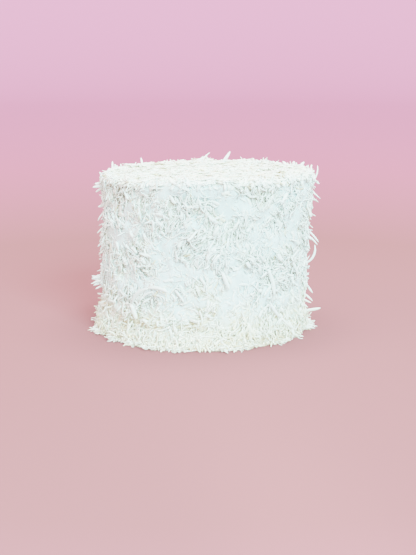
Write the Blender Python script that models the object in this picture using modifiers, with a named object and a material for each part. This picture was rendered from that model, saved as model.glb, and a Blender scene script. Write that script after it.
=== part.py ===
"""Coconut cake: a tall round layer cake, covered all over in shredded coconut.

One solid. Its coat is uneven, and the largest shreds are curved strips fused to it:
flat ones that lie on the side and top, ones that stand out at the rim and side, and a
skirt of them round the foot. Metres, +Z up, the base on z = 0 round the Z axis, the
shown side facing -Y.
"""

import math
import random

import bmesh
import bpy
from mathutils import Matrix, Vector, noise
from mathutils.bvhtree import BVHTree

# Body of the cake, out to the coat of coconut between the large shreds. The coat is
# thicker at the top edge and round the foot. The cake leans a little to +X, and its top
# slopes: it is highest at the front, and higher at +X than at -X.
CAKE_RADIUS = 0.0800
CAKE_HEIGHT = 0.1240
RIM_ROUND = 0.0040
RIM_LIP = 0.0026
LIP_DROP = 0.0240
FOOT_FLARE = 0.0024
FOOT_RISE = 0.0320
LEAN = 0.0054
TOP_SLOPE = Vector((0.014, -0.024, 0.0))

# Relief of the coat: slow waves in the frosting, and tangles of coconut.
WAVE_SIZE = 0.050
WAVE_DEPTH = 0.0016
WAVE_SHIFT = Vector((3.1, 7.7, 1.9))
TANGLE_SIZE = 0.0120
TANGLE_DEPTH = 0.0030
FINE_SIZE = 0.55 * TANGLE_SIZE
FINE_DEPTH = 0.35 * TANGLE_DEPTH
FINE_SHIFT = Vector((9.2, 0.4, 5.5))

# Mesh of the body: steps round it, the pitch of its rows, and the share of faces kept.
TURN_STEPS = 132
ROW_PITCH = 0.0040
RIM_ROWS = 4
CORE_SHARE = 0.24
FLOOR_BAND = 0.0008  # what lies lower than this is the flat base

# Shreds: length and width of a strip, as ranges, and its thickness.
SHRED_LENGTH = (0.0120, 0.0225)
SHRED_WIDTH = (0.0019, 0.0026)
SHRED_THICK = 0.0010
SHRED_CUTS = 2
SHRED_TAPER = 0.55  # how much narrower a strip is at its ends
MOST_BEND = 0.8
SINK = 0.0013  # how deep the ends of a lying shred are sunk in the coat
ARCH = (0.0008, 0.0016)  # how far its middle is clear of the coat
ROOT_SINK = 0.0021  # how deep the root of a standing shred is
STANDING_LENGTH = 0.85  # of a lying shred's length
REACH = 0.0085  # farthest that a standing shred reaches past the side or over the top
CLEAR_OF_FLOOR = 0.0003

# Where each sort lies. A height is a share of the cake's, a radius a share of the cake's.
SIDE_SHREDS = 160
SIDE_HEIGHTS = (0.09, 0.89)
TOP_SHREDS = 56
TOP_REACH = 0.90
RIM_SHREDS = 36
RIM_TIPS = (0.25, 1.25)  # radians up from level
FOOT_SHREDS = 38
FOOT_HEIGHTS = (0.0035, 0.0075)
FOOT_CLIMB = 0.35
TURN_OFF = 0.04  # radians that a shred is off its even place, at most
SPACING_OFF = 0.3  # the same for the rim and the foot, as a share of the spacing
SEED = 41

# The share of each sort that stands out of the coat, and by how many degrees.
SIDE_STANDING = (0.40, (10.0, 26.0))
TOP_STANDING = (0.25, (8.0, 20.0))
RIM_STANDING = (0.60, (8.0, 26.0))
FOOT_STANDING = (0.60, (8.0, 24.0))

# The largest shreds that stand out of the shown side, by their roots: the turn in degrees
# from the front, the height, the way in degrees clockwise from straight up, the lift off
# the side, the length and the width.
SIDE_STRAYS = (
    (-90, 0.117, -170, 58, 0.0090, 0.0020),
    (-78, 0.102, -100, 36, 0.0115, 0.0022),
    (-81, 0.046, -98, 44, 0.0130, 0.0020),
    (-26, 0.118, 4, 14, 0.0120, 0.0019),
    (60, 0.019, 150, 20, 0.0190, 0.0024),
    (84, 0.079, 132, 46, 0.0135, 0.0020),
    (86, 0.070, 176, 22, 0.0180, 0.0024),
    (82, 0.041, 150, 36, 0.0155, 0.0022),
    (84, 0.013, 92, 56, 0.0145, 0.0022),
)

# Those on the top: the root's place across and back, the way in degrees anticlockwise
# from +X, then the lift, the length and the width.
TOP_STRAYS = (
    (-0.006, 0.056, 5, 36, 0.0115, 0.0019),
    (0.010, 0.058, -10, 60, 0.0150, 0.0023),
)

MOST_FACES = 11900
FUSE_TRIES = 8

GOLDEN = math.pi * (3.0 - math.sqrt(5.0))
UP = Vector((0.0, 0.0, 1.0))


def clear_scene():
    for obj in list(bpy.data.objects):
        bpy.data.objects.remove(obj)


def new_collection(name):
    collection = bpy.data.collections.new(name)
    bpy.context.scene.collection.children.link(collection)
    return collection


def coconut_material():
    material = bpy.data.materials.new("coconut")
    material.use_nodes = True
    shader = material.node_tree.nodes["Principled BSDF"]
    shader.inputs["Base Color"].default_value = (0.86, 0.86, 0.82, 1.0)
    shader.inputs["Roughness"].default_value = 0.62
    return material


def add_object(name, mesh, collection):
    obj = bpy.data.objects.new(name, mesh)
    collection.objects.link(obj)
    return obj


def applied_mesh(obj):
    """The object's mesh with its modifiers carried out."""
    graph = bpy.context.evaluated_depsgraph_get()
    return bpy.data.meshes.new_from_object(obj.evaluated_get(graph))


def thinned(mesh, share):
    """The mesh with about this share of its faces, all of them triangles."""
    obj = add_object("thinned", mesh, bpy.context.scene.collection)
    thin = obj.modifiers.new("few_faces", "DECIMATE")
    thin.ratio = share
    thin.use_collapse_triangulate = True
    few = applied_mesh(obj)
    bpy.data.objects.remove(obj)
    return few


# The body

def even_steps(start, end, pitch):
    count = max(1, round(abs(end - start) / pitch))
    return [start + (end - start) * i / count for i in range(count)]


def cake_profile():
    """Half section at +X, from the middle of the top down the outside to the axis."""
    rim_x = CAKE_RADIUS + RIM_LIP - RIM_ROUND
    rim_z = CAKE_HEIGHT - RIM_ROUND
    points = [(x, CAKE_HEIGHT) for x in even_steps(0.0, rim_x, ROW_PITCH)]
    for i in range(RIM_ROWS):
        turn = 0.5 * math.pi * i / RIM_ROWS
        points.append((rim_x + RIM_ROUND * math.sin(turn), rim_z + RIM_ROUND * math.cos(turn)))
    for z in even_steps(rim_z, 0.0, ROW_PITCH):
        near_foot = max(0.0, 1.0 - z / FOOT_RISE)
        near_rim = max(0.0, 1.0 - (rim_z - z) / LIP_DROP)
        coat = FOOT_FLARE * near_foot ** 2 + RIM_LIP * near_rim ** 2
        points.append((CAKE_RADIUS + coat, z))
    points.append((CAKE_RADIUS + FOOT_FLARE, 0.0))
    points.append((0.0, 0.0))
    return points


def turned_mesh(points):
    """The half section turned once round the Z axis."""
    mesh = bpy.data.meshes.new("section")
    verts = [(x, 0.0, z) for x, z in points]
    mesh.from_pydata(verts, [(i, i + 1) for i in range(len(verts) - 1)], [])
    obj = add_object("section", mesh, bpy.context.scene.collection)
    screw = obj.modifiers.new("turn", "SCREW")
    screw.axis = "Z"
    screw.angle = 2.0 * math.pi
    screw.steps = TURN_STEPS
    screw.render_steps = TURN_STEPS
    screw.use_merge_vertices = True
    screw.merge_threshold = 0.00001
    turned = applied_mesh(obj)
    bpy.data.objects.remove(obj)
    return turned


def relief(point):
    """How far the coat stands out here: slow waves and tangles of coconut."""
    wave = noise.noise(point / WAVE_SIZE + WAVE_SHIFT)
    tangle = noise.noise(point / TANGLE_SIZE)
    fine = noise.noise(point / FINE_SIZE + FINE_SHIFT)
    return WAVE_DEPTH * wave + TANGLE_DEPTH * tangle + FINE_DEPTH * fine


def leaned(point):
    """The point moved as the cake leans to +X and its top slopes."""
    share = point.z / CAKE_HEIGHT
    return point + Vector((LEAN * share, 0.0, TOP_SLOPE.dot(point) * share ** 2))


def core_mesh():
    """The cake's body with its uneven coat, in few faces, flat underneath."""
    mesh = turned_mesh(cake_profile())
    bm = bmesh.new()
    bm.from_mesh(mesh)
    bmesh.ops.recalc_face_normals(bm, faces=bm.faces)
    places = []
    for vert in bm.verts:
        way = vert.normal.copy()
        if vert.co.z < FLOOR_BAND:
            on_edge = vert.co.xy.length > 0.5 * CAKE_RADIUS
            way = Vector((vert.co.x, vert.co.y, 0.0)).normalized() if on_edge else Vector()
        places.append(leaned(vert.co + way * relief(vert.co)))
    for vert, place in zip(bm.verts, places):
        vert.co = place
    bm.to_mesh(mesh)
    bm.free()
    few = thinned(mesh, CORE_SHARE)
    for vert in few.vertices:
        if vert.co.z < FLOOR_BAND:
            vert.co.z = 0.0
    return few


# Shreds

def strip_mesh(length, width, centre_line, bend):
    """A thin strip along a centre line, which gives a point and the strip's up there."""
    bm = bmesh.new()
    bmesh.ops.create_cube(bm, size=1.0)
    lengthwise = [e for e in bm.edges
                  if abs(e.verts[0].co.x - e.verts[1].co.x) > 0.5]
    bmesh.ops.subdivide_edges(bm, edges=lengthwise, cuts=SHRED_CUTS)
    for vert in bm.verts:
        along, side, height = vert.co
        place, forward, up = centre_line(along * length, bend)
        taper = 1.0 - SHRED_TAPER * (2.0 * abs(along)) ** 3
        sideways = up.cross(forward).normalized()
        vert.co = (place + sideways * side * width * taper
                   + up * height * SHRED_THICK)
    bmesh.ops.recalc_face_normals(bm, faces=bm.faces)
    mesh = bpy.data.meshes.new("shred")
    bm.to_mesh(mesh)
    bm.free()
    return mesh


def lying_line(tree, anchor, normal, heading, length, arch):
    """A shred that lies on the coat, its middle arched clear and both ends sunk in."""
    def line(s, bend):
        side = normal.cross(heading)
        flat = anchor + heading * s + side * bend * (s * s) / length
        near, out, _, _ = tree.find_nearest(flat)
        share = min(1.0, abs(2.0 * s / length))
        height = arch - (arch + SINK) * share ** 3
        forward = (heading + side * 2.0 * bend * s / length).normalized()
        out = (out + normal * 2.0).normalized()
        return near + out * height, forward, out
    return line


def standing_line(anchor, normal, heading, length, lift):
    """A shred that stands out of the coat at an angle, one end sunk in."""
    forward = heading * math.cos(lift) + normal * math.sin(lift)
    up = normal * math.cos(lift) - heading * math.sin(lift)
    side = normal.cross(heading)

    def line(s, bend):
        run = s + 0.5 * length
        place = anchor - normal * ROOT_SINK + forward * run + side * bend * run * run / length
        return place, forward, up
    return line


def side_place(rng, i, count):
    """Evenly round the side, by the golden angle."""
    low, high = SIDE_HEIGHTS
    z = CAKE_HEIGHT * (low + (high - low) * (i + 0.5) / count)
    turn = i * GOLDEN + rng.uniform(-TURN_OFF, TURN_OFF)
    outward = Vector((math.cos(turn), math.sin(turn), 0.0))
    return outward * CAKE_RADIUS + UP * z, outward


def top_place(rng, i, count):
    """Evenly over the top, by the golden angle."""
    radius = TOP_REACH * CAKE_RADIUS * math.sqrt((i + 0.5) / count)
    turn = i * GOLDEN + rng.uniform(-TURN_OFF, TURN_OFF)
    return Vector((radius * math.cos(turn), radius * math.sin(turn), CAKE_HEIGHT)), UP


def rim_place(rng, i, count):
    """Round the rounded top edge."""
    turn = 2.0 * math.pi * (i + rng.uniform(-SPACING_OFF, SPACING_OFF)) / count
    tip = rng.uniform(*RIM_TIPS)
    outward = Vector((math.cos(turn), math.sin(turn), 0.0))
    normal = outward * math.cos(tip) + UP * math.sin(tip)
    centre = outward * (CAKE_RADIUS - RIM_ROUND) + UP * (CAKE_HEIGHT - RIM_ROUND)
    return centre + normal * RIM_ROUND, normal


def foot_place(rng, i, count):
    """Round the foot, low on the side."""
    turn = 2.0 * math.pi * (i + rng.uniform(-SPACING_OFF, SPACING_OFF)) / count
    outward = Vector((math.cos(turn), math.sin(turn), 0.0))
    return outward * (CAKE_RADIUS + FOOT_FLARE) + UP * rng.uniform(*FOOT_HEIGHTS), outward


def any_heading(rng, normal):
    """A direction in the surface, any way round."""
    start = normal.orthogonal().normalized()
    return Matrix.Rotation(rng.uniform(0.0, 2.0 * math.pi), 3, normal) @ start


def level_heading(rng, normal):
    """A direction along the foot, level with the base or a little up from it."""
    along = UP.cross(normal).normalized()
    if rng.random() < 0.5:
        along = -along
    return (along + UP * rng.uniform(0.0, FOOT_CLIMB)).normalized()


def farthest_out(mesh):
    """How far a shred reaches beyond the cake's side or over its top."""
    beyond = max(v.co.xy.length for v in mesh.vertices) - CAKE_RADIUS
    above = max(v.co.z for v in mesh.vertices) - CAKE_HEIGHT
    return max(beyond, above)


def one_shred(rng, tree, place, normal, heading, standing, lift_range):
    """A strip of coconut at this place, lying on the coat or standing out of it."""
    near, _, _, _ = tree.find_nearest(place)
    length = rng.uniform(*SHRED_LENGTH)
    width = rng.uniform(*SHRED_WIDTH)
    bend = rng.uniform(-MOST_BEND, MOST_BEND)
    if not standing:
        line = lying_line(tree, near, normal, heading, length, rng.uniform(*ARCH))
        return strip_mesh(length, width, line, bend)
    length *= STANDING_LENGTH
    lift = math.radians(rng.uniform(*lift_range))
    mesh = strip_mesh(length, width, standing_line(near, normal, heading, length, lift), bend)
    too_far = farthest_out(mesh) / REACH
    if too_far > 1.0:
        length /= too_far
        mesh = strip_mesh(length, width, standing_line(near, normal, heading, length, lift), bend)
    return mesh


def add_spread_shreds(tree, collection):
    """The shreds that are spread evenly, each sort over its own zone."""
    rng = random.Random(SEED)
    zones = (
        (SIDE_SHREDS, side_place, any_heading, SIDE_STANDING),
        (TOP_SHREDS, top_place, any_heading, TOP_STANDING),
        (RIM_SHREDS, rim_place, any_heading, RIM_STANDING),
        (FOOT_SHREDS, foot_place, level_heading, FOOT_STANDING),
    )
    for count, where, which_way, (standing_share, lift_range) in zones:
        for i in range(count):
            place, normal = where(rng, i, count)
            heading = which_way(rng, normal)
            standing = rng.random() < standing_share
            mesh = one_shred(rng, tree, place, normal, heading, standing, lift_range)
            if min(v.co.z for v in mesh.vertices) > CLEAR_OF_FLOOR:
                add_object("shred", mesh, collection)


def add_strays(tree, collection):
    """The shreds that stand out at places of their own."""
    roots = []
    for turn, z, way, *rest in SIDE_STRAYS:
        turn, way = math.radians(turn - 90.0), math.radians(way)
        outward = Vector((math.cos(turn), math.sin(turn), 0.0))
        heading = UP * math.cos(way) + UP.cross(outward) * math.sin(way)
        roots.append((outward * CAKE_RADIUS + UP * z, outward, heading, *rest))
    for x, y, way, *rest in TOP_STRAYS:
        way = math.radians(way)
        heading = Vector((math.cos(way), math.sin(way), 0.0))
        roots.append((Vector((x, y, CAKE_HEIGHT)), UP, heading, *rest))
    for place, normal, heading, lift, length, width in roots:
        near, _, _, _ = tree.find_nearest(place)
        line = standing_line(near, normal, heading, length, math.radians(lift))
        add_object("stray", strip_mesh(length, width, line, 0.0), collection)


# Fusing

def largest_piece(mesh):
    """Keep the cake itself: loose scraps and sealed hollows go."""
    bm = bmesh.new()
    bm.from_mesh(mesh)
    left = set(bm.verts)
    best = set()
    while left:
        start = left.pop()
        piece = {start}
        reached = [start]
        while reached:
            vert = reached.pop()
            for edge in vert.link_edges:
                other = edge.other_vert(vert)
                if other in left:
                    left.remove(other)
                    piece.add(other)
                    reached.append(other)
        if len(piece) > len(best):
            best = piece
    bmesh.ops.delete(bm, geom=[v for v in bm.verts if v not in best], context="VERTS")
    bmesh.ops.triangulate(bm, faces=bm.faces)
    bm.to_mesh(mesh)
    bm.free()


def doubtful_places(mesh):
    """Where an edge of the mesh has more than two faces or fewer."""
    bm = bmesh.new()
    bm.from_mesh(mesh)
    places = [0.5 * (e.verts[0].co + e.verts[1].co)
              for e in bm.edges if len(e.link_faces) != 2]
    bm.free()
    return places


def leave_out_nearest(places, collection):
    """Take out the shred that each of these places lies on."""
    for place in places:
        def gap(obj):
            return min((v.co - place).length for v in obj.data.vertices)
        if collection.objects:
            bpy.data.objects.remove(min(collection.objects, key=gap))


def fused_mesh(core, shreds):
    """The cake's body and its shreds as one mesh, in one union."""
    body = add_object("body", core, bpy.context.scene.collection)
    fuse = body.modifiers.new("fuse", "BOOLEAN")
    fuse.operation = "UNION"
    fuse.operand_type = "COLLECTION"
    fuse.collection = shreds
    fuse.solver = "EXACT"
    for _ in range(FUSE_TRIES):
        fused = applied_mesh(body)
        largest_piece(fused)
        places = doubtful_places(fused)
        if not places:
            break
        leave_out_nearest(places, shreds)
    bpy.data.objects.remove(body)
    return fused


def build_cake():
    parts = new_collection("coconut_cake")
    helpers = new_collection("helpers")
    core = core_mesh()
    bm = bmesh.new()
    bm.from_mesh(core)
    tree = BVHTree.FromBMesh(bm)
    bm.free()
    add_spread_shreds(tree, helpers)
    add_strays(tree, helpers)
    for obj in helpers.objects:
        obj.hide_render = True
        obj.display_type = "WIRE"
    fused = fused_mesh(core, helpers)
    if len(fused.polygons) > MOST_FACES:
        fused = thinned(fused, MOST_FACES / len(fused.polygons))
    for obj in list(helpers.objects):
        bpy.data.objects.remove(obj)
    fused.shade_smooth()
    fused.name = "cake"
    fused.materials.clear()
    fused.materials.append(coconut_material())
    add_object("cake", fused, parts)


clear_scene()
build_cake()
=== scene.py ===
"""The looks of a coconut cake: white frosting under a thick coat of shredded coconut.

The frosting follows the solid's own uneven form and shows bare in smooth patches. The
coat is thousands of thin curved strips, felted in layers: long ones, broad ones and
short bits, on the side, over the top, at the top edge and in a skirt round the foot.
Others stand out of it, and loose ones gather in clumps at the foot. Metres, in the
frame of the solids.
"""

import math

import bmesh
import bpy
import numpy as np
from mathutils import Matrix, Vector, noise


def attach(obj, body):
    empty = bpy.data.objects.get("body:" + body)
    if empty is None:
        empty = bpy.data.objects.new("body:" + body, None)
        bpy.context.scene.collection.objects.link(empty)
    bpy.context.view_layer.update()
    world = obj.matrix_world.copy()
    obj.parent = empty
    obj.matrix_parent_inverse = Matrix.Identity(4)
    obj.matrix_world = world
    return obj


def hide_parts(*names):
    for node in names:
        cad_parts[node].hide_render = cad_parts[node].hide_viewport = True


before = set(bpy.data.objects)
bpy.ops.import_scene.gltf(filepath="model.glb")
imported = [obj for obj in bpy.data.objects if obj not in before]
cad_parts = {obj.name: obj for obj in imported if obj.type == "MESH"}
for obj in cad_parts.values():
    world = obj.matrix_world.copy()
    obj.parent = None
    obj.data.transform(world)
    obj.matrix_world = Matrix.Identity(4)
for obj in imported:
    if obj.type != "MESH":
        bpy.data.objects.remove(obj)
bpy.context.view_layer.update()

NODE = "cake"
FRONT = -0.5 * math.pi
GOLDEN = math.pi * (3.0 - math.sqrt(5.0))

# Body of the cake, as in the solid: the coat between its large shreds.
CAKE_RADIUS = 0.0800
CAKE_HEIGHT = 0.1240
RIM_ROUND = 0.0040
RIM_LIP = 0.0026
LIP_DROP = 0.0240
FOOT_FLARE = 0.0024
FOOT_RISE = 0.0320
LEAN = 0.0054
TOP_SLOPE = (0.014, -0.024)
WAVE_SIZE = 0.050
WAVE_DEPTH = 0.0016
TANGLE_SIZE = 0.0120
TANGLE_DEPTH = 0.0030
FINE_DEPTH = 0.35 * TANGLE_DEPTH

# The middle of the arc that rounds the top edge.
RIM_X = CAKE_RADIUS + RIM_LIP - RIM_ROUND
RIM_Z = CAKE_HEIGHT - RIM_ROUND

# Noises: the grain of each, and a shift that gives it a pattern of its own. The first
# three are those of the solid's relief.
WAVES = (WAVE_SIZE, (3.1, 7.7, 1.9))
TANGLES = (TANGLE_SIZE, (0.0, 0.0, 0.0))
FINE_TANGLES = (0.55 * TANGLE_SIZE, (9.2, 0.4, 5.5))
PATCH_EDGES = (0.008, (4.4, 2.2, 0.6))
STROKES = (0.0036, (2.9, 5.8, 0.3))
WHITES = (0.022, (1.5, 8.1, 3.3))
SWIRLS = (0.030, (6.3, 1.1, 2.7))

# Shares that come and go over the surface: a noise, the middle share, how strongly it
# comes and goes, and the least share. The frosting fills the coat up here and there, the
# felt is in tufts, and loose shreds gather at the foot in clumps.
FILLING = ((0.017, (5.5, 0.9, 8.8)), 0.45, 4.0, 0.0)
TUFTING = ((0.0045, (7.1, 3.9, 5.2)), 0.75, 1.3, 0.25)
CLUMPING = ((0.011, (5.1, 3.5, 7.3)), 0.50, 3.4, 0.0)

# Smooth patches, where the frosting shows: the turn in degrees from the front, the
# height, and half the width and height of each. The rest of the side has others like them.
FRONT_PATCHES = (
    (-22.0, 0.1186, 0.0185, 0.0055),
    (3.0, 0.1180, 0.0195, 0.0066),
    (9.0, 0.1080, 0.0064, 0.0125),
    (-56.0, 0.0800, 0.0110, 0.0065),
    (27.0, 0.0840, 0.0040, 0.0060),
    (52.0, 0.0900, 0.0085, 0.0070),
    (12.0, 0.0660, 0.0060, 0.0040),
    (0.0, 0.0570, 0.0110, 0.0040),
    (-23.0, 0.0520, 0.0110, 0.0050),
    (20.0, 0.0520, 0.0110, 0.0080),
    (-4.0, 0.0360, 0.0110, 0.0050),
)
BACK_PATCHES = 13
BACK_PATCH_BAND = (0.022, 0.116)
BACK_PATCH_WIDTHS = (0.006, 0.014)
BACK_PATCH_HEIGHTS = (0.004, 0.010)

# A patch is bare up to the first share of its half size and coated past the second. Its
# edge wanders by the third. From half bare on, shreds lie as in a patch and none stand out.
PATCH_BARE = 0.6
PATCH_COATED = 1.3
PATCH_RAGGED = 0.9
HALF_BARE = 0.5

# Frosting: how far it lies under the solid's coat, its height over that coat in a patch
# and where it fills the coat, and the share by which it fills all of the top.
FROSTING_UNDER = 0.0020
PATCH_RISE = 0.0004
FILL_RISE = -0.0003
TOP_FILL = 0.7

# What faces up more than this is the top.
FACES_UP = 0.7

# In a patch the relief is this share of the coat's. The frosting's strokes are this deep,
# and their noise takes heights by this share, which draws them out upward.
PATCH_RELIEF = 0.5
STROKE_DEPTH = 0.0010
STROKE_STRETCH = 0.35

# Mesh of the frosting: steps round it, the pitch of its rows, and rows over the top edge.
TURN_STEPS = 440
ROW_PITCH = 0.0011
TOP_PITCH = 0.0020
RIM_ROWS = 8

# Felts: how deep and how high shreds lie in them, out from the solid's coat.
SIDE_FELT = (-0.0022, 0.0019)
TOP_FELT = (-0.0012, 0.0010)
SKIRT_FELT = (-0.0006, 0.0034)

# What stands out of the side and the top has its root at this depth, and no strip comes
# nearer to the ground than this gap.
ROOT_DEPTH = -0.0006
GROUND_GAP = 0.0002

# The heights between which shreds lie on the side and stand out of it, how far out the
# top's reach, and how much each is off its even place in height and turn.
SIDE_BAND = (0.0020, CAKE_HEIGHT - 0.0025)
POKER_BAND = (0.0060, CAKE_HEIGHT - 0.0030)
TOP_REACH = CAKE_RADIUS + RIM_LIP - 0.0025
OFF_HEIGHT = 0.0012
OFF_TURN = 0.02

# How far the slow swirls turn the way in which shreds hang down.
SWIRL_TURN = 2.6

# Top edge: the tips of its places from level in radians, how its shreds droop over it,
# and the bareness, drawn between these, from which one is left out.
RIM_TIPS = (0.45, 1.57)
RIM_DROOP = 0.35
RIM_BARENESS = (0.1, 1.0)

# Where the frosting shows or fills the coat, shreds are fewer and lie low and flat.
PATCH_LIE = 0.0003
PATCH_DEPTH = 0.10
FILLED_DEPTH = 0.28
LEFT_IN_FILL = 0.82
PATCH_FLAT = 0.8
FILL_FLAT = 0.7

# Skirt round the foot: its height, its lean outward, how much thinner it is at the top,
# how thick it is in a gap and in a clump, and the share of the relief that it follows.
SKIRT = 0.0140
SKIRT_LEAN = 0.25
SKIRT_THINS = 0.6
SKIRT_CLUMPED = (0.45, 1.10)
FOOT_RELIEF = 0.6

# Curled ends at the foot: their height, how far out they start in a clump, and how much
# their way strays from straight out.
CURL_RISE = (0.0004, 0.0030)
CURL_REACH = 0.0028
CURL_SPREAD = 0.9

# Whites, from 0, creamy, to 1, cool: the side's and how it varies. Then how much creamier
# the top is painted, as warm light from above; the foot up to a height, as painted warm light
# thrown up from what it stands on; the depth of the felt, as painted shade in its gaps; and
# the top's frosting, as painted shade in the top's gaps.
SIDE_WHITE = 0.95
WHITE_VARIES = 0.25
TOP_WARM_LIGHT = 0.40
FOOT_BOUNCE_CREAM = 0.80
FOOT_BOUNCE_RISE = 0.040
DEEP_GAP_SHADE = 0.50
TOP_FROSTING_GAP_SHADE = 0.20

# How one shred's white varies from the next, the share of tan ones, and how much whiter
# the listed ones and the foot's curled ends are.
SHRED_VARIES = 0.15
TAN_SHARE = 0.012
# The listed strays and the foot's curled ends are painted whiter: painted light, as on strips that
# stand out into the light.
STRAY_LIT_WHITER = 0.15
CURL_LIT_WHITER = 0.25

# Shreds: length, width and thickness of a strip, as ranges.
LONG = dict(length=(0.006, 0.015), width=(0.0009, 0.0018), thick=(0.0003, 0.0006))
BROAD = dict(length=(0.004, 0.013), width=(0.0015, 0.0029), thick=(0.0003, 0.0007))
BITS = dict(length=(0.0022, 0.0070), width=(0.0006, 0.0013), thick=(0.0003, 0.0005))
POKERS = dict(length=(0.0030, 0.0080), width=(0.0009, 0.0021), thick=(0.0003, 0.0006))
TUFTS = dict(length=(0.0028, 0.0062), width=(0.0012, 0.0024), thick=(0.0003, 0.0006))
FOOT_CURLS = dict(length=(0.0035, 0.0090), width=(0.0007, 0.0017), thick=(0.0003, 0.0006))

# How much a strip narrows to each end, how late that starts, and the thickness left at a
# tip with no width.
TAPERS = (0.05, 0.90)
TAPER_POWER = 2.5
TIP_THICK = 0.35

# How much one shred differs from the next: a few bend strongly, all twist and wiggle.
STRONG_SHARE = 0.2
STRONG_BEND = 2.4
WIGGLE = 0.35
TWIST = 0.9

# Shreds that stand out on the side, by their root: the turn in degrees from the front,
# the height, the way in degrees clockwise from straight up, the lift off the side, the
# length, the width, the bend sideways and the curl outward in degrees from end to end.
SIDE_STRAYS = (
    (-84, 0.1210, 0, 34, 0.0055, 0.0014, 0, 0),
    (-85, 0.1180, 180, 76, 0.0080, 0.0020, 0, 30),
    (-84, 0.1145, 180, 86, 0.0100, 0.0022, 0, 0),
    (-86, 0.1140, 180, 57, 0.0085, 0.0017, 0, 0),
    (-84, 0.1000, 180, 74, 0.0080, 0.0025, 0, 0),
    (-83, 0.0950, 180, 42, 0.0115, 0.0012, 0, -50),
    (-82, 0.0830, 180, 48, 0.0090, 0.0012, 0, -15),
    (-83, 0.0800, 180, 24, 0.0080, 0.0012, 0, -20),
    (-84, 0.0750, 180, 32, 0.0070, 0.0013, 0, -20),
    (-83, 0.0710, 180, 42, 0.0070, 0.0014, 0, 0),
    (-80, 0.0700, -150, 20, 0.0100, 0.0018, 20, -20),
    (-83, 0.0430, 180, 80, 0.0070, 0.0017, 0, 0),
    (-82, 0.0415, 180, 86, 0.0100, 0.0018, 0, 10),
    (-84, 0.0400, 0, 80, 0.0108, 0.0017, 0, -10),
    (-82, 0.0395, 180, 72, 0.0112, 0.0013, 0, 0),
    (-85, 0.0375, 0, 82, 0.0112, 0.0016, 0, 10),
    (-82, 0.0370, 180, 76, 0.0096, 0.0018, 0, -20),
    (-81, 0.0350, 180, 68, 0.0080, 0.0015, 0, -20),
    (-79, 0.0400, -120, 52, 0.0105, 0.0020, 10, 0),
    (-79, 0.0370, -75, 48, 0.0098, 0.0020, -10, 0),
    (-42, 0.0830, 48, 12, 0.0150, 0.0017, 8, -10),
    (-41, 0.0810, 44, 10, 0.0130, 0.0015, -12, -10),
    (-37, 0.0205, -24, 3, 0.0135, 0.0030, -10, -6),
    (-40, 0.0321, 51, 4, 0.0232, 0.0032, 50, -18),
    (-41, 0.0300, 42, 5, 0.0170, 0.0024, 34, -14),
    (-31, 0.0450, 92, 4, 0.0212, 0.0025, 46, -14),
    (-35, 0.0347, 56, 2, 0.0165, 0.0017, 45, -10),
    (-15, 0.0450, 139, 2, 0.0115, 0.0014, 20, -8),
    (-26, 0.1180, 4, 10, 0.0110, 0.0013, 10, 0),
    (9, 0.0600, 156, 4, 0.0150, 0.0028, 6, -6),
    (36, 0.0580, 164, 4, 0.0215, 0.0029, 24, -8),
    (39, 0.0325, 141, 4, 0.0175, 0.0024, -19, -8),
    (48, 0.0185, 128, 8, 0.0200, 0.0021, -18, -6),
    (55, 0.0610, 150, 7, 0.0150, 0.0022, 20, -8),
    (56, 0.0160, 180, 30, 0.0150, 0.0026, 0, 0),
    (79, 0.1170, 6, 14, 0.0130, 0.0010, 30, -60),
    (84, 0.1190, 180, 55, 0.0085, 0.0016, 0, 0),
    (84, 0.1110, 180, 46, 0.0120, 0.0009, 0, 12),
    (80, 0.1085, 140, 34, 0.0140, 0.0010, -35, 0),
    (86, 0.0990, 120, 42, 0.0062, 0.0013, 0, 0),
    (86, 0.0920, 110, 40, 0.0062, 0.0016, 0, 0),
    (85, 0.0790, 180, 44, 0.0150, 0.0013, 0, -14),
    (84, 0.0750, 180, 48, 0.0130, 0.0012, 0, -20),
    (84, 0.0515, 0, 23, 0.0178, 0.0017, 0, -84),
    (84, 0.0640, 180, 70, 0.0062, 0.0014, 0, 0),
    (85, 0.0370, 180, 40, 0.0128, 0.0016, 0, -8),
    (84, 0.0280, 180, 52, 0.0115, 0.0014, 0, -20),
    (84, 0.0240, 180, 64, 0.0100, 0.0013, 0, 10),
    (82, 0.0210, 150, 48, 0.0090, 0.0014, 0, 0),
    (84, 0.0130, 0, 80, 0.0145, 0.0022, 0, -10),
    (83, 0.0090, 180, 60, 0.0090, 0.0016, 0, 0),
)

# Shreds that stand up on the top, by their root: its place across and back, the way in
# degrees anticlockwise from +X, then the lift, length, width, bend and curl as above.
TOP_STRAYS = (
    (-0.009, 0.060, 5, 42, 0.0135, 0.0012, 0, 0),
    (0.010, 0.058, 0, 57, 0.0146, 0.0026, 0, 10),
    (-0.004, 0.060, 150, 60, 0.0055, 0.0012, 0, 0),
    (-0.054, 0.050, 120, 62, 0.0085, 0.0015, 0, 0),
    (-0.077, 0.022, 100, 66, 0.0075, 0.0014, 0, 0),
    (0.066, 0.044, 150, 38, 0.0065, 0.0020, 0, 0),
    (0.069, 0.038, 70, 44, 0.0065, 0.0022, 0, 0),
    (0.072, 0.034, 120, 36, 0.0060, 0.0018, 0, 0),
    (0.074, 0.029, 30, 40, 0.0062, 0.0022, 0, 0),
    (0.076, 0.022, 100, 34, 0.0058, 0.0019, 0, 0),
)

# Those that lift less than this rest on the coat. The others have their root in it.
LYING = math.radians(12.0)
STRAY_REST = 0.0017

# How thick they are, and how much they narrow to the tip.
STRAY_THICK = 0.0006
STRAY_TIP = 0.75

# The photograph's camera, in the cake's frame, and the picture's exposure.
CAMERA_AT = (0.0054, -0.9702, 0.2495)
CAMERA_DOWN = 12.28
CAMERA_LENS = 80.1
CAMERA_SENSOR = 36.0
EXPOSURE = 2.1

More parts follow.
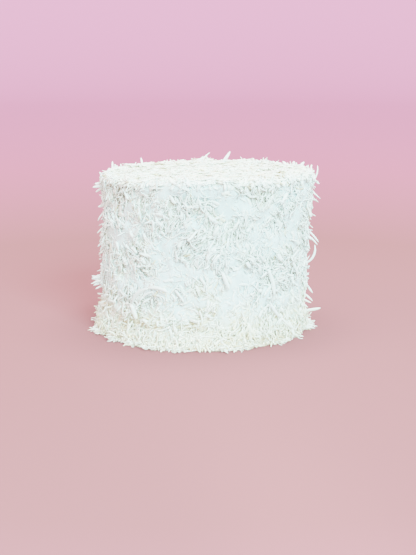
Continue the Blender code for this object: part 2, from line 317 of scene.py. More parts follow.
# The paper sweep: the radius of its flat and of the curve up from it, the height of its
# wall, and the radius of the first row round its middle.
SWEEP_FLAT = 2.4
SWEEP_CURVE = 0.9
SWEEP_WALL = 2.5
SWEEP_MIDDLE = 0.3
SWEEP_STEPS = 96
SWEEP_ROWS = 16

# The sweep's colour at these distances from the cake: its pink, painted darker near the
# cake as shade and lighter out towards the wall as light.
SWEEP_PINK_AND_SHADE = (
    (0.40, (0.26, 0.095, 0.105)),
    (1.0, (0.47, 0.14, 0.214)),
    (3.3, (1.0, 0.33, 0.60)),
)


# The cake's form

def side_radius(z):
    """Radius of the solid's side at height z."""
    near_foot = np.clip(1.0 - z / FOOT_RISE, 0.0, 1.0)
    near_rim = np.clip(1.0 - (RIM_Z - z) / LIP_DROP, 0.0, 1.0)
    return CAKE_RADIUS + FOOT_FLARE * near_foot ** 2 + RIM_LIP * near_rim ** 2


def body_profile(under):
    """Half section as (radius, height) rows, from the middle of the top to the foot."""
    inset = 0.5 * under
    rows = [(x, CAKE_HEIGHT - under) for x in np.arange(0.0, RIM_X, TOP_PITCH)]
    for i in range(RIM_ROWS):
        turn = 0.5 * math.pi * i / RIM_ROWS
        rows.append((RIM_X - inset + (RIM_ROUND - inset) * math.sin(turn),
                     RIM_Z - inset + (RIM_ROUND - inset) * math.cos(turn)))
    for z in np.arange(RIM_Z - inset, 0.0, -ROW_PITCH):
        rows.append((float(side_radius(z)) - under, z))
    rows.append((float(side_radius(0.0)) - under, 0.0))
    return np.array(rows)


def field(points, grain, shift):
    """Smooth noise of this grain at each point, about -0.5 to 0.5."""
    return np.array([noise.noise(Vector(point) / grain + Vector(shift)) for point in points])


def share(points, noise_of_share, middle, contrast, least):
    """A share from the least to 1 that comes and goes over the surface."""
    return np.clip(middle + contrast * field(points, *noise_of_share), least, 1.0)


def relief(points, bare=0.0):
    """How far the coat stands out at each point, as in the solid, and less in a patch."""
    waves = WAVE_DEPTH * field(points, *WAVES)
    tangles = TANGLE_DEPTH * field(points, *TANGLES) + FINE_DEPTH * field(points, *FINE_TANGLES)
    return (waves + tangles) * (1.0 - (1.0 - PATCH_RELIEF) * bare)


def leaned(points):
    """The points moved as the cake leans to +X and its top slopes."""
    moved = np.array(points)
    climb = moved[..., 2] / CAKE_HEIGHT
    moved[..., 2] += moved[..., :2] @ TOP_SLOPE * climb ** 2
    moved[..., 0] += LEAN * climb
    return moved


def unit(vectors):
    return vectors / np.maximum(np.linalg.norm(vectors, axis=-1, keepdims=True), 1e-12)


def between(first, second, angle):
    """The directions at these angles from the first towards the second."""
    return np.cos(angle)[:, None] * first + np.sin(angle)[:, None] * second


def all_patches():
    """The front's smooth patches, and others like them round the rest of the side."""
    patches = [(FRONT + math.radians(turn), *rest) for turn, *rest in FRONT_PATCHES]
    rng = np.random.default_rng(7)
    low, high = BACK_PATCH_BAND
    for i in range(BACK_PATCHES):
        turn = FRONT + 0.5 * math.pi + math.pi * (i + 0.5) / BACK_PATCHES
        z = low + (high - low) * ((0.5 + i * GOLDEN / math.pi) % 1.0)
        patches.append((turn, z, rng.uniform(*BACK_PATCH_WIDTHS), rng.uniform(*BACK_PATCH_HEIGHTS)))
    return patches


def bareness(points):
    """How bare of coconut the cake is at each point: 0 in the coat, 1 in a patch."""
    turn = np.arctan2(points[:, 1], points[:, 0])
    ragged = PATCH_RAGGED * field(points, *PATCH_EDGES)
    bare = np.zeros(len(points))
    for middle, z, half_width, half_height in all_patches():
        away = (turn - middle + math.pi) % (2.0 * math.pi) - math.pi
        across = away * CAKE_RADIUS / half_width
        reach = np.hypot(across, (points[:, 2] - z) / half_height) + ragged
        here = np.clip((PATCH_COATED - reach) / (PATCH_COATED - PATCH_BARE), 0.0, 1.0)
        bare = np.maximum(bare, here)
    on_side = np.hypot(points[:, 0], points[:, 1]) > CAKE_RADIUS - RIM_ROUND
    return np.where(on_side, bare, 0.0)


def whiteness_and_light(points, on_top):
    """From 0, creamy, to 1, a cool white, varying at random: the top is painted creamier as warm
    light from above, and the foot as warm light thrown up from what it stands on.
    """
    # Painted warm light thrown up onto the foot, fading out by a height.
    near_foot = np.clip(1.0 - points[:, 2] / FOOT_BOUNCE_RISE, 0.0, 1.0)
    white = SIDE_WHITE + WHITE_VARIES * field(points, *WHITES)
    return white - FOOT_BOUNCE_CREAM * near_foot - TOP_WARM_LIGHT * on_top


def gap_shade(depth, felt):
    """How much creamier and darker shreds are painted at this depth of a felt than on it, as shade
    in the gaps between them.
    """
    return DEEP_GAP_SHADE * (felt[1] - depth) / (felt[1] - felt[0])


# Meshes

def new_object(name, mesh, material):
    """A piece of the dressed cake, which stands for the solid."""
    obj = bpy.data.objects.new(name, mesh)
    bpy.context.scene.collection.objects.link(obj)
    mesh.materials.append(material)
    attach(obj, "root")
    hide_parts(NODE)


def mesh_of(name, verts, *face_groups):
    """A mesh from arrays of corners and of faces, each group with its own count of sides."""
    sides = np.concatenate([np.full(len(faces), faces.shape[1]) for faces in face_groups])
    corners = np.concatenate([faces.ravel() for faces in face_groups])
    starts = np.concatenate([[0], np.cumsum(sides)[:-1]])
    mesh = bpy.data.meshes.new(name)
    mesh.vertices.add(len(verts))
    mesh.vertices.foreach_set("co", np.ascontiguousarray(verts, np.float32).ravel())
    mesh.loops.add(len(corners))
    mesh.loops.foreach_set("vertex_index", corners.astype(np.int32))
    mesh.polygons.add(len(sides))
    mesh.polygons.foreach_set("loop_start", starts.astype(np.int32))
    mesh.update(calc_edges=True)
    return mesh


def turned(rows, steps):
    """A section of (radius, height) rows turned round Z, as an array of rows by steps."""
    turns = np.arange(steps) * 2.0 * math.pi / steps
    points = np.empty((len(rows), steps, 3))
    points[..., 0] = rows[:, None, 0] * np.cos(turns)
    points[..., 1] = rows[:, None, 0] * np.sin(turns)
    points[..., 2] = rows[:, None, 1]
    return points


def turned_faces(rows, steps):
    """The quads of a turned section."""
    row = np.arange(rows - 1)[:, None] * steps
    step = np.arange(steps)[None, :]
    after = (step + 1) % steps
    quads = np.stack([row + step, row + steps + step, row + steps + after, row + after], axis=-1)
    return quads.reshape(-1, 4)


def add_tint(mesh, values):
    tint = mesh.attributes.new("tint", "FLOAT", "POINT")
    tint.data.foreach_set("value", np.clip(values, 0.0, 1.0).astype(np.float32))


# Materials

def new_material(name):
    """A material with the parts that its maker needs: its node tree and its shader."""
    material = bpy.data.materials.new(name)
    material.use_nodes = True
    return material, material.node_tree, material.node_tree.nodes["Principled BSDF"]


def linked_ramp(tree, source, colours):
    """A colour ramp from (position, colour) pairs, driven by a socket."""
    ramp = tree.nodes.new("ShaderNodeValToRGB")
    elements = ramp.color_ramp.elements
    for element, (position, colour) in zip(elements, (colours[0], colours[-1])):
        element.position = position
        element.color = (*colour, 1.0)
    for position, colour in colours[1:-1]:
        elements.new(position).color = (*colour, 1.0)
    tree.links.new(source, ramp.inputs["Fac"])
    return ramp.outputs["Color"]


def linked_noise(tree, scale, detail):
    """Noise in the object's own space, a fixed grain per metre."""
    place = tree.nodes.new("ShaderNodeTexCoord")
    grain = tree.nodes.new("ShaderNodeTexNoise")
    grain.inputs["Scale"].default_value = scale
    grain.inputs["Detail"].default_value = detail
    tree.links.new(place.outputs["Object"], grain.inputs["Vector"])
    return grain.outputs["Fac"]


def linked_bump(tree, height, strength, distance):
    bump = tree.nodes.new("ShaderNodeBump")
    bump.inputs["Strength"].default_value = strength
    bump.inputs["Distance"].default_value = distance
    tree.links.new(height, bump.inputs["Height"])
    return bump.outputs["Normal"]


def tint_output(tree):
    tint = tree.nodes.new("ShaderNodeAttribute")
    tint.attribute_name = "tint"
    return tint.outputs["Fac"]


def coconut_material():
    """Coconut flesh: white, a little see-through, each shred of a slightly other white."""
    material, tree, shader = new_material("coconut")
    # The low end, creamy to tan, serves the tan shreds and also the painted shade deep in the felt
    # and the painted warm light at the top and foot.
    whites_and_shade = (
        (0.0, (0.70, 0.58, 0.40)),
        (0.12, (0.90, 0.85, 0.67)),
        (0.40, (0.96, 0.96, 0.865)),
        (1.0, (0.90, 0.955, 0.955)),
    )
    grain = linked_noise(tree, 900.0, 3.0)
    tree.links.new(linked_ramp(tree, tint_output(tree), whites_and_shade), shader.inputs["Base Color"])
    tree.links.new(linked_bump(tree, grain, 0.35, 0.0002), shader.inputs["Normal"])
    shader.inputs["Roughness"].default_value = 0.42
    shader.inputs["Specular IOR Level"].default_value = 0.5
    shader.inputs["Subsurface Weight"].default_value = 0.12
    shader.inputs["Subsurface Radius"].default_value = (1.0, 0.85, 0.68)
    shader.inputs["Subsurface Scale"].default_value = 0.0016
    return material


def frosting_material():
    """White buttercream: a cool white on the side, smeared a little unevenly. Where the coat
    covers it, it is painted a darker warm grey-tan, as shade in the gaps between the shreds.
    """
    material, tree, shader = new_material("frosting")
    # Cool white where it shows; the lower end is painted shade, for frosting seen only in the gaps
    # of the coat.
    whites_and_shade = (
        (0.0, (0.88, 0.79, 0.60)),
        (0.42, (0.76, 0.75, 0.65)),
        (0.8, (0.72, 0.84, 0.87)),
    )
    shades = ((0.3, (0.88, 0.90, 0.90)), (0.7, (1.0, 1.0, 1.0)))
    smear = linked_noise(tree, 160.0, 5.0)
    mix = tree.nodes.new("ShaderNodeMix")
    mix.data_type = "RGBA"
    mix.blend_type = "MULTIPLY"
    mix.inputs["Factor"].default_value = 1.0
    tree.links.new(linked_ramp(tree, tint_output(tree), whites_and_shade), mix.inputs["A"])
    tree.links.new(linked_ramp(tree, smear, shades), mix.inputs["B"])
    tree.links.new(mix.outputs["Result"], shader.inputs["Base Color"])
    tree.links.new(linked_bump(tree, smear, 0.5, 0.0006), shader.inputs["Normal"])
    shader.inputs["Roughness"].default_value = 0.42
    shader.inputs["Subsurface Weight"].default_value = 0.3
    shader.inputs["Subsurface Radius"].default_value = (1.0, 1.0, 1.0)
    shader.inputs["Subsurface Scale"].default_value = 0.002
    return material


# Frosting

def frosting_height(points, bare, fill):
    """How far the frosting stands out from its section at each point."""
    strokes = STROKE_DEPTH * field(points * (1.0, 1.0, STROKE_STRETCH), *STROKES)
    height = relief(points, bare) + strokes * np.maximum(bare, fill)
    height += (FROSTING_UNDER + PATCH_RISE) * bare
    height += (FROSTING_UNDER + FILL_RISE) * fill
    return height


def add_frosting(material):
    """The body under the coat, turned from the section, with the solid's relief."""
    rows = body_profile(FROSTING_UNDER)
    slope = np.gradient(rows, axis=0)
    outward = unit(np.stack([-slope[:, 1], slope[:, 0]], axis=-1))
    base = turned(rows, TURN_STEPS)
    flat = base.reshape(-1, 3)
    on_top = np.repeat(outward[:, 1] > FACES_UP, TURN_STEPS)
    bare = bareness(flat)
    fill = np.where(on_top, TOP_FILL, share(flat, *FILLING)) * (1.0 - bare)
    # Under the coat the frosting is painted creamier and darker, as shade in the gaps between the
    # shreds, and on the top more so; top and foot also take the painted warm light.
    tint = whiteness_and_light(flat, on_top) - DEEP_GAP_SHADE * (1.0 - np.maximum(bare, fill))
    tint -= TOP_FROSTING_GAP_SHADE * on_top
    height = frosting_height(flat, bare, fill)
    base += turned(outward, TURN_STEPS) * height.reshape(base.shape[:2])[..., None]
    base[..., 2] = np.maximum(base[..., 2], 0.0)
    base[-1, :, 2] = 0.0
    base[0] = base[0].mean(axis=0)
    quads = turned_faces(len(rows), TURN_STEPS)
    mesh = mesh_of("frosting", leaned(base.reshape(-1, 3)), quads)
    add_tint(mesh, tint)
    close_base(mesh)
    mesh.shade_smooth()
    new_object("frosting", mesh, material)


def close_base(mesh):
    """The flat underside, and the middle of the top drawn to one point."""
    bm = bmesh.new()
    bm.from_mesh(mesh)
    bmesh.ops.remove_doubles(bm, verts=bm.verts, dist=0.00001)
    open_edges = [edge for edge in bm.edges if edge.is_boundary]
    bmesh.ops.holes_fill(bm, edges=open_edges)
    bmesh.ops.recalc_face_normals(bm, faces=bm.faces)
    bm.to_mesh(mesh)
    bm.free()


# Shreds

class Shreds:
    """Many strips, as arrays with one row for each."""

    def __init__(self, place, normal, along, length, width, thick):
        count = len(place)
        self.place = place
        self.normal = normal
        self.along = along
        self.length = length
        self.width = width
        self.thick = thick
        self.bend = np.zeros(count)
        self.wiggle = np.zeros(count)
        self.arch = np.zeros(count)
        self.lift = np.zeros(count)
        self.roll = np.zeros(count)
        self.twist = np.zeros(count)
        self.taper = np.full((count, 2), 0.5)
        self.tint = np.ones(count)
        self.rooted = False

    def keep(self, chosen):
        """Leave out the strips that aren't chosen."""
        for name, values in vars(self).items():
            if name != "rooted":
                setattr(self, name, values[chosen])

    def centre_lines(self, segments):
        """Points, directions and ups along every strip."""
        s = np.linspace(-0.5, 0.5, segments + 1)
        side = np.cross(self.normal, self.along)
        run = self.length[:, None] * s
        yaw = self.bend[:, None] * run + self.wiggle[:, None] * np.cos(2.0 * math.pi * s)
        yaw = yaw[..., None]
        pitch = (self.lift[:, None] + self.arch[:, None] * run)[..., None]
        level = np.cos(yaw) * self.along[:, None] + np.sin(yaw) * side[:, None]
        forward = np.cos(pitch) * level + np.sin(pitch) * self.normal[:, None]
        step = 0.5 * (forward[:, 1:] + forward[:, :-1]) * (self.length / segments)[:, None, None]
        points = np.concatenate([np.zeros_like(step[:, :1]), np.cumsum(step, axis=1)], axis=1)
        half = segments // 2
        held = points[:, 0] if self.rooted else 0.5 * (points[:, half] + points[:, segments - half])
        points += (self.place - held)[:, None]
        rise = np.sum(forward * self.normal[:, None], axis=-1, keepdims=True)
        return s, points, forward, unit(self.normal[:, None] - forward * rise)

    def corners(self, segments, sides):
        """Corners of tubes along the strips, clear of what the cake stands on."""
        s, points, forward, up = self.centre_lines(segments)
        across = np.cross(up, forward)
        roll = (self.roll[:, None] + self.twist[:, None] * s)[..., None]
        wide = np.cos(roll) * across + np.sin(roll) * up
        thin = np.cos(roll) * up - np.sin(roll) * across
        end = np.where(s < 0.0, self.taper[:, :1], self.taper[:, 1:])
        narrow = 1.0 - end * np.abs(2.0 * s) ** TAPER_POWER
        thinner = TIP_THICK + (1.0 - TIP_THICK) * narrow
        half_w = wide * (0.5 * self.width[:, None] * narrow)[..., None]
        half_t = thin * (0.5 * self.thick[:, None] * thinner)[..., None]
        if sides == 3:
            high_side = [points + half_t]
        else:
            high_side = [points + half_w + half_t, points - half_w + half_t]
        corners = np.stack([points - half_w - half_t, points + half_w - half_t] + high_side, axis=2)
        lowest = corners[..., 2].min(axis=(1, 2))
        corners[..., 2] += np.maximum(0.0, GROUND_GAP - lowest)[:, None, None]
        return corners

    def mesh(self, name, segments, sides):
        """All the strips as one mesh of tubes with three or four sides and closed ends."""
        corners = self.corners(segments, sides)
        rings = segments + 1
        first = (np.arange(len(corners)) * rings * sides)[:, None, None]
        ring = first + (np.arange(segments) * sides)[None, :, None]
        corner = np.arange(sides)[None, None, :]
        after = (corner + 1) % sides
        walls = np.stack([ring + corner, ring + after,
                          ring + sides + after, ring + sides + corner], axis=-1)
        start = first[:, 0] + np.arange(sides)[::-1]
        stop = first[:, 0] + sides * segments + np.arange(sides)
        mesh = mesh_of(name, leaned(corners.reshape(-1, 3)), walls.reshape(-1, 4), start, stop)
        add_tint(mesh, np.repeat(self.tint, rings * sides))
        return mesh


def some_shreds(rng, place, normal, along, size):
    """Shreds of one sort at these places, each of its own length, width and thickness."""
    count = len(place)
    return Shreds(place, normal, along, rng.uniform(*size["length"], count),
                  rng.uniform(*size["width"], count), rng.uniform(*size["thick"], count))


def vary(shreds, rng, curl, lift, roll, on_top=0.0):
    """Bends, lifts, twists and whites of a handful of shreds, each a little different."""
    count = len(shreds.place)
    shreds.bend = rng.normal(0.0, curl, count)
    strong = rng.random(count) < STRONG_SHARE
    shreds.bend[strong] *= STRONG_BEND
    shreds.wiggle = rng.normal(0.0, WIGGLE, count)
    shreds.arch = shreds.arch + rng.normal(0.0, 0.5 * curl, count)
    shreds.lift = rng.normal(0.0, lift, count)
    shreds.roll = rng.normal(0.0, roll, count)
    shreds.twist = rng.normal(0.0, TWIST, count)
    shreds.taper = rng.uniform(*TAPERS, (count, 2))
    # Each shred's white, with painted warm light on the top and at the foot, varied at random; a
    # few are tan.
    shreds.tint = whiteness_and_light(shreds.place, on_top) + rng.normal(0.0, SHRED_VARIES, count)
    shreds.tint[rng.random(count) < TAN_SHARE] = 0.0
    return shreds


def stand(shreds, rng, curl, lifts, roll, on_top=0.0):
    """The same for shreds that are held by one end and stand off within a range of lifts."""
    vary(shreds, rng, curl, 0.0, roll, on_top)
    shreds.lift = rng.uniform(*lifts, len(shreds.place))
    shreds.rooted = True
    return shreds


def side_frames(turn, z):
    """Points of the solid's side, the way out, round and up there."""
    out = np.stack([np.cos(turn), np.sin(turn), np.zeros_like(turn)], axis=-1)
    round_it = np.stack([-np.sin(turn), np.cos(turn), np.zeros_like(turn)], axis=-1)
    up = np.zeros_like(out)
    up[:, 2] = 1.0
    place = out * side_radius(z)[:, None] + up * z[:, None]
    return place, out, round_it, up


def side_spots(rng, count, low, high):
    """Even places over the side between two heights: turn and height of each."""
    i = np.arange(count)
    z = low + (high - low) * (i + 0.5) / count + rng.normal(0.0, OFF_HEIGHT, count)
    return i * GOLDEN + rng.normal(0.0, OFF_TURN, count), np.clip(z, low, high)


def turns_round(rng, count):
    """Even turns round the cake, each a little off its place."""
    return 2.0 * math.pi * (np.arange(count) + rng.uniform(-0.5, 0.5, count)) / count


def any_way(rng, first, second, count):
    """Directions in the surface, any way round, and their angles from the first."""
    angle = rng.uniform(0.0, 2.0 * math.pi, count)
    return between(first, second, angle), angle


def combed(rng, place, round_it, up, stray=0.35, loose=0.55):
    """Directions that mostly hang down in slow swirls, and their angles from level."""
    count = len(place)
    swirl = -0.5 * math.pi + SWIRL_TURN * field(place, *SWIRLS)
    angle = swirl + rng.normal(0.0, loose, count)
    free = rng.random(count) < stray
    angle[free] = rng.uniform(0.0, 2.0 * math.pi, np.count_nonzero(free))
    return between(round_it, up, angle), angle


def side_shreds(rng, count, size, curl, lift, roll, left_in_patch):
    """Shreds felted on the side in tufts, few of them in the smooth patches."""
    turn, z = side_spots(rng, count, *SIDE_BAND)
    place, out, round_it, up = side_frames(turn, z)
    along, angle = combed(rng, place, round_it, up)
    bare = bareness(place)
    fill = share(place, *FILLING)
    depth = rng.uniform(*SIDE_FELT, count)
    low = depth * (1.0 - fill) + (FILL_RISE + FILLED_DEPTH * depth) * fill
    low = np.where(bare > HALF_BARE, PATCH_LIE + PATCH_DEPTH * depth, low)
    left = (1.0 - (1.0 - left_in_patch) * bare) * (1.0 - (1.0 - LEFT_IN_FILL) * fill)
    stays = rng.random(count) < share(place, *TUFTING) * left
    place = place + out * (relief(place, bare) + low)[:, None]
    shreds = some_shreds(rng, place, out, along, size)
    shreds.arch = -np.cos(angle) ** 2 / CAKE_RADIUS
    vary(shreds, rng, curl, lift, roll)
    # Deeper in the felt they are painted creamier and darker, as shade.
    shreds.tint -= gap_shade(depth, SIDE_FELT)
    shreds.lift *= 1.0 - PATCH_FLAT * np.maximum(bare, FILL_FLAT * fill)
    shreds.keep(stays)
    return shreds


def side_pokers(rng, count, size, curl, lift, roll):
    """Shreds that stand out of the side, by one end, most of them drooping."""
    turn, z = side_spots(rng, count, *POKER_BAND)
    place, out, round_it, up = side_frames(turn, z)
    along, _ = combed(rng, place, round_it, up, stray=0.3, loose=0.8)
    stays = bareness(place) < HALF_BARE
    place = place + out * (relief(place) + ROOT_DEPTH)[:, None]
    shreds = stand(some_shreds(rng, place, out, along, size), rng, curl, lift, roll)
    shreds.keep(stays)
    return shreds


def top_place(rng, count):
    """Even places over the top and down to the start of its rounded edge."""
    i = np.arange(count)
    radius = TOP_REACH * np.sqrt((i + 0.5) / count)
    turn = i * GOLDEN + rng.normal(0.0, OFF_TURN, count)
    over = np.maximum(0.0, radius - RIM_X)
    z = RIM_Z + np.sqrt(RIM_ROUND ** 2 - over ** 2)
    return np.stack([radius * np.cos(turn), radius * np.sin(turn), z], axis=-1)


def top_shreds(rng, count, size, curl, lift, roll):
    """Shreds that lie over the top."""
    place = top_place(rng, count)
    east, north, up = (np.tile(row, (count, 1)) for row in np.eye(3))
    along, _ = any_way(rng, east, north, count)
    depth = rng.uniform(*TOP_FELT, count)
    place[:, 2] += relief(place) + depth
    shreds = some_shreds(rng, place, up, along, size)
    vary(shreds, rng, curl, lift, roll, on_top=1.0)
    # Deeper in the felt they are painted creamier and darker, as shade.
    shreds.tint -= gap_shade(depth, TOP_FELT)
    return shreds


def rim_frames(rng, count):
    """Places on the rounded top edge, the way out there, round it and down over it."""
    turn = turns_round(rng, count)
    tip = rng.uniform(*RIM_TIPS, count)
    _, out, round_it, up = side_frames(turn, np.zeros(count))
    normal = between(out, up, tip)
    down = between(out, up, tip - 0.5 * math.pi)
    place = out * RIM_X + up * RIM_Z + normal * RIM_ROUND
    return place, normal, round_it, down, tip


def rim_shreds(rng, count, size, curl, lift, roll):
    """Shreds over the rounded top edge, some of which stand out past it."""
    place, normal, round_it, down, tip = rim_frames(rng, count)
    depth = rng.uniform(*TOP_FELT, count)
    place = place + normal * (relief(place) + depth)[:, None]
    along, angle = any_way(rng, round_it, down, count)
    shreds = some_shreds(rng, place, normal, along, size)
    shreds.arch = -RIM_DROOP * np.sin(angle) ** 2 / RIM_ROUND
    stays = bareness(place) < rng.uniform(*RIM_BARENESS, count)
    vary(shreds, rng, curl, lift, roll, on_top=np.sin(tip))
    shreds.keep(stays)
    return shreds


def rim_pokers(rng, count, size, curl, lift, roll):
    """Shreds that stand out of the top edge by one end."""
    place, normal, round_it, down, tip = rim_frames(rng, count)
    place = place + normal * (relief(place) + ROOT_DEPTH)[:, None]
    along, _ = any_way(rng, round_it, down, count)
    shreds = some_shreds(rng, place, normal, along, size)
    return stand(shreds, rng, curl, lift, roll, on_top=np.sin(tip))


def foot_shreds(rng, count, size, curl, lift, roll):
    """The skirt of shreds round the foot, which leans out over what the cake stands on."""
    turn = turns_round(rng, count)
    z = SKIRT * rng.random(count) ** 2
    place, out, round_it, up = side_frames(turn, z)
    normal = unit(out + SKIRT_LEAN * up)
    climb = unit(up - SKIRT_LEAN * out)
    along, _ = combed(rng, place, round_it, climb, stray=0.6)
    in_gap, in_clump = SKIRT_CLUMPED
    depth = rng.uniform(*SKIRT_FELT, count) * (1.0 - SKIRT_THINS * z / SKIRT)
    depth *= in_gap + (in_clump - in_gap) * share(place, *CLUMPING)
    place = place + normal * (FOOT_RELIEF * relief(place) + depth)[:, None]
    shreds = some_shreds(rng, place, normal, along, size)
    return vary(shreds, rng, curl, lift, roll)


def foot_curls(rng, count, size, curl, lift, roll):
    """Curled ends that lie out from the foot, on what the cake stands on."""
    turn = turns_round(rng, count)
    place, out, round_it, up = side_frames(turn, rng.uniform(*CURL_RISE, count))
    gathered = share(place, *CLUMPING)
    place = place + out * (FOOT_RELIEF * relief(place) + CURL_REACH * gathered)[:, None]
    along = between(out, round_it, rng.normal(0.0, CURL_SPREAD, count))
    shreds = stand(some_shreds(rng, place, up, along, size), rng, curl, lift, roll)
    # Painted lighter, as light caught by the ends that lie out at the foot.
    shreds.tint += CURL_LIT_WHITER
    shreds.keep(rng.random(count) < gathered)
    return shreds


def broad_to_front(normal, along, lift):
    """The roll that turns the broad side of each shred to the front."""
    forward = between(along, normal, lift)
    up = unit(normal - forward * np.sum(forward * normal, axis=-1, keepdims=True))
    across = np.cross(up, forward)
    return np.arctan2(-across[:, 1], up[:, 1])


def hand_placed(place, normal, along, rows):
    """Shreds whose lift, length, width, bend and curl are the last columns of the rows."""
    lift, length, width, bend, curl = np.array([row[-5:] for row in rows]).T
    shreds = Shreds(place, normal, along, length, width, np.full(len(rows), STRAY_THICK))
    shreds.lift = np.radians(lift)
    shreds.bend = -np.radians(bend) / length
    shreds.arch = np.radians(curl) / length
    shreds.roll = broad_to_front(normal, along, shreds.lift)
    shreds.taper[:, 1] = STRAY_TIP
    # Painted whiter than the coat round them, as lit strips standing out over shaded gaps.
    shreds.tint = whiteness_and_light(place, 0.0) + STRAY_LIT_WHITER
    shreds.rooted = True
    return shreds


def side_strays():
    """The shreds that stand out of the photographed side."""
    turn, z, way, lift = np.array([row[:4] for row in SIDE_STRAYS]).T
    place, out, round_it, up = side_frames(FRONT + np.radians(turn), z)
    depth = np.where(np.radians(lift) < LYING, STRAY_REST, ROOT_DEPTH)
    place = place + out * (relief(place) + depth)[:, None]
    return hand_placed(place, out, between(up, round_it, np.radians(way)), SIDE_STRAYS)


def top_strays():
    """The shreds that stand up on the top."""
    x, y, way = np.array([row[:3] for row in TOP_STRAYS]).T
    east, north, up = (np.tile(row, (len(x), 1)) for row in np.eye(3))
    place = np.stack([x, y, np.full(len(x), CAKE_HEIGHT)], axis=-1)
    place[:, 2] += relief(place) + ROOT_DEPTH
    return hand_placed(place, up, between(east, north, np.radians(way)), TOP_STRAYS)


def add_coat():
    """The whole coat of coconut, one piece for each kind of shred.

    How a kind lies: its curl in radians a metre, and its lift and roll in radians. What
    stands by one end has a range of lifts.
    """
    white = coconut_material()
    loose = dict(curl=85.0, lift=0.18, roll=0.7, left_in_patch=0.30)
    curly = dict(curl=130.0, lift=0.25, roll=0.8, left_in_patch=0.50)
    stood = dict(curl=55.0, lift=(0.35, 1.0), roll=0.7)
    flat = dict(curl=60.0, lift=0.04, roll=0.28)
    rim_broad = dict(curl=50.0, lift=0.14, roll=0.4)
    rim_short = dict(curl=110.0, lift=0.16, roll=0.5)
    foot_long = dict(curl=75.0, lift=0.30, roll=0.6)
    foot_short = dict(curl=130.0, lift=0.30, roll=0.7)
    curled = dict(curl=170.0, lift=(-0.2, 0.30), roll=0.5)
    kinds = (
        ("shreds_side_long", side_shreds, 5300, LONG, loose, 6, 3),
        ("shreds_side_broad", side_shreds, 4500, BROAD, loose, 5, 4),
        ("shreds_side_bits", side_shreds, 14200, BITS, curly, 3, 3),
        ("shreds_side_pokers", side_pokers, 900, POKERS, stood, 5, 3),
        ("shreds_top_long", top_shreds, 1600, LONG, flat, 6, 3),
        ("shreds_top_broad", top_shreds, 1300, BROAD, flat, 5, 4),
        ("shreds_top_bits", top_shreds, 3300, BITS, flat, 3, 3),
        ("shreds_rim", rim_shreds, 900, BROAD, rim_broad, 5, 4),
        ("shreds_rim_bits", rim_shreds, 1500, BITS, rim_short, 3, 3),
        ("shreds_rim_pokers", rim_pokers, 240, TUFTS, stood, 5, 3),
        ("shreds_foot", foot_shreds, 1500, LONG, foot_long, 6, 3),
        ("shreds_foot_bits", foot_shreds, 2800, BITS, foot_short, 3, 3),
        ("shreds_foot_curls", foot_curls, 900, FOOT_CURLS, curled, 6, 3),
    )
    for number, (name, spread, count, size, pose, segments, sides) in enumerate(kinds):
        rng = np.random.default_rng(100 + number)
        shreds = spread(rng, count, size, **pose)
        new_object(name, shreds.mesh(name, segments, sides), white)
    for name, shreds in (("strays_side", side_strays()), ("strays_top", top_strays())):
        new_object(name, shreds.mesh(name, 9, 4), white)


# Stage, light and camera

def add_stage():
    """A plain pale sweep: a floor that curves up into a wall all round."""
    rows = [(0.0, 0.0), (SWEEP_MIDDLE, 0.0), (SWEEP_FLAT, 0.0)]
    for i in range(1, SWEEP_ROWS + 1):
        turn = 0.5 * math.pi * i / SWEEP_ROWS
        rows.append((SWEEP_FLAT + SWEEP_CURVE * math.sin(turn),
                     SWEEP_CURVE * (1.0 - math.cos(turn))))
    rows.append((SWEEP_FLAT + SWEEP_CURVE, SWEEP_WALL))
    verts = turned(np.array(rows), SWEEP_STEPS)
    quads = turned_faces(len(rows), SWEEP_STEPS)[:, ::-1]
    mesh = mesh_of("sweep", verts.reshape(-1, 3), quads)
    mesh.shade_smooth()
    mesh.materials.append(sweep_material(SWEEP_FLAT + SWEEP_CURVE))
    sweep = bpy.data.objects.new("sweep", mesh)
    bpy.context.scene.collection.objects.link(sweep)
    sweep.visible_diffuse = False


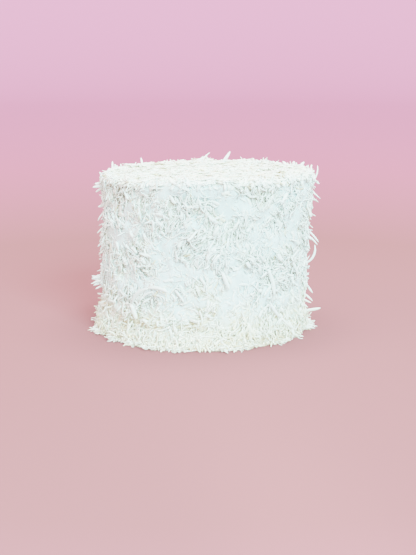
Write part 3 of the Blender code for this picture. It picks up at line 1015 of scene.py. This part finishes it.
def sweep_material(reach):
    """Matt pale pink paper, painted darker near the cake as shade, and a little lighter towards the
    wall.
    """
    material, tree, shader = new_material("sweep")
    place = tree.nodes.new("ShaderNodeTexCoord")
    flat = tree.nodes.new("ShaderNodeVectorMath")
    flat.operation = "MULTIPLY"
    flat.inputs[1].default_value = (1.0 / reach, 1.0 / reach, 0.0)
    far = tree.nodes.new("ShaderNodeVectorMath")
    far.operation = "LENGTH"
    tree.links.new(place.outputs["Object"], flat.inputs[0])
    tree.links.new(flat.outputs["Vector"], far.inputs[0])
    colours = [(radius / reach, colour) for radius, colour in SWEEP_PINK_AND_SHADE]
    tree.links.new(linked_ramp(tree, far.outputs["Value"], colours), shader.inputs["Base Color"])
    shader.inputs["Roughness"].default_value = 0.9
    shader.inputs["Specular IOR Level"].default_value = 0.1
    return material


def add_light(name, at, target, size, power, colour, spread=math.pi):
    """A soft square lamp, turned to what it lights."""
    light = bpy.data.lights.new(name, "AREA")
    light.shape = "SQUARE"
    light.size = size
    light.spread = spread
    light.energy = power
    light.color = colour
    obj = bpy.data.objects.new(name, light)
    obj.location = at
    obj.rotation_euler = (Vector(target) - Vector(at)).to_track_quat("-Z", "Y").to_euler()
    obj.visible_camera = False
    bpy.context.scene.collection.objects.link(obj)


def add_lights():
    """Soft light from the front, above and the left, and a little thrown onto the foot."""
    middle = (0.0, 0.0, 0.06)
    foot = (0.01, -CAKE_RADIUS, -0.04)
    add_light("key", (0.62, -1.6, 1.1), middle, 0.8, 32.5, (0.56, 1.0, 1.0))
    add_light("overhead", (0.1, 0.15, 1.7), middle, 1.2, 18.0, (1.0, 0.98, 0.93))
    add_light("left", (-1.6, -0.4, 0.5), middle, 1.0, 5.0, (1.0, 0.66, 0.62))
    add_light("bounce", (0.08, -0.60, 0.05), foot, 0.08, 0.012, (1.0, 0.97, 0.84),
              spread=math.radians(20.0))
    world = bpy.data.worlds.new("studio")
    world.use_nodes = True
    back = world.node_tree.nodes["Background"]
    back.inputs["Color"].default_value = (1.0, 0.97, 0.91, 1.0)
    back.inputs["Strength"].default_value = 0.36
    bpy.context.scene.world = world


def add_camera():
    camera = bpy.data.cameras.new("camera")
    camera.lens = CAMERA_LENS
    camera.sensor_width = CAMERA_SENSOR
    camera.clip_start = 0.01
    camera.clip_end = 20.0
    obj = bpy.data.objects.new("camera", camera)
    obj.location = CAMERA_AT
    obj.rotation_euler = (math.radians(90.0 - CAMERA_DOWN), 0.0, 0.0)
    bpy.context.scene.collection.objects.link(obj)
    bpy.context.scene.camera = obj


add_frosting(frosting_material())
add_coat()
add_stage()
add_lights()
add_camera()
bpy.context.scene.view_settings.view_transform = "Filmic"
bpy.context.scene.view_settings.exposure = EXPOSURE
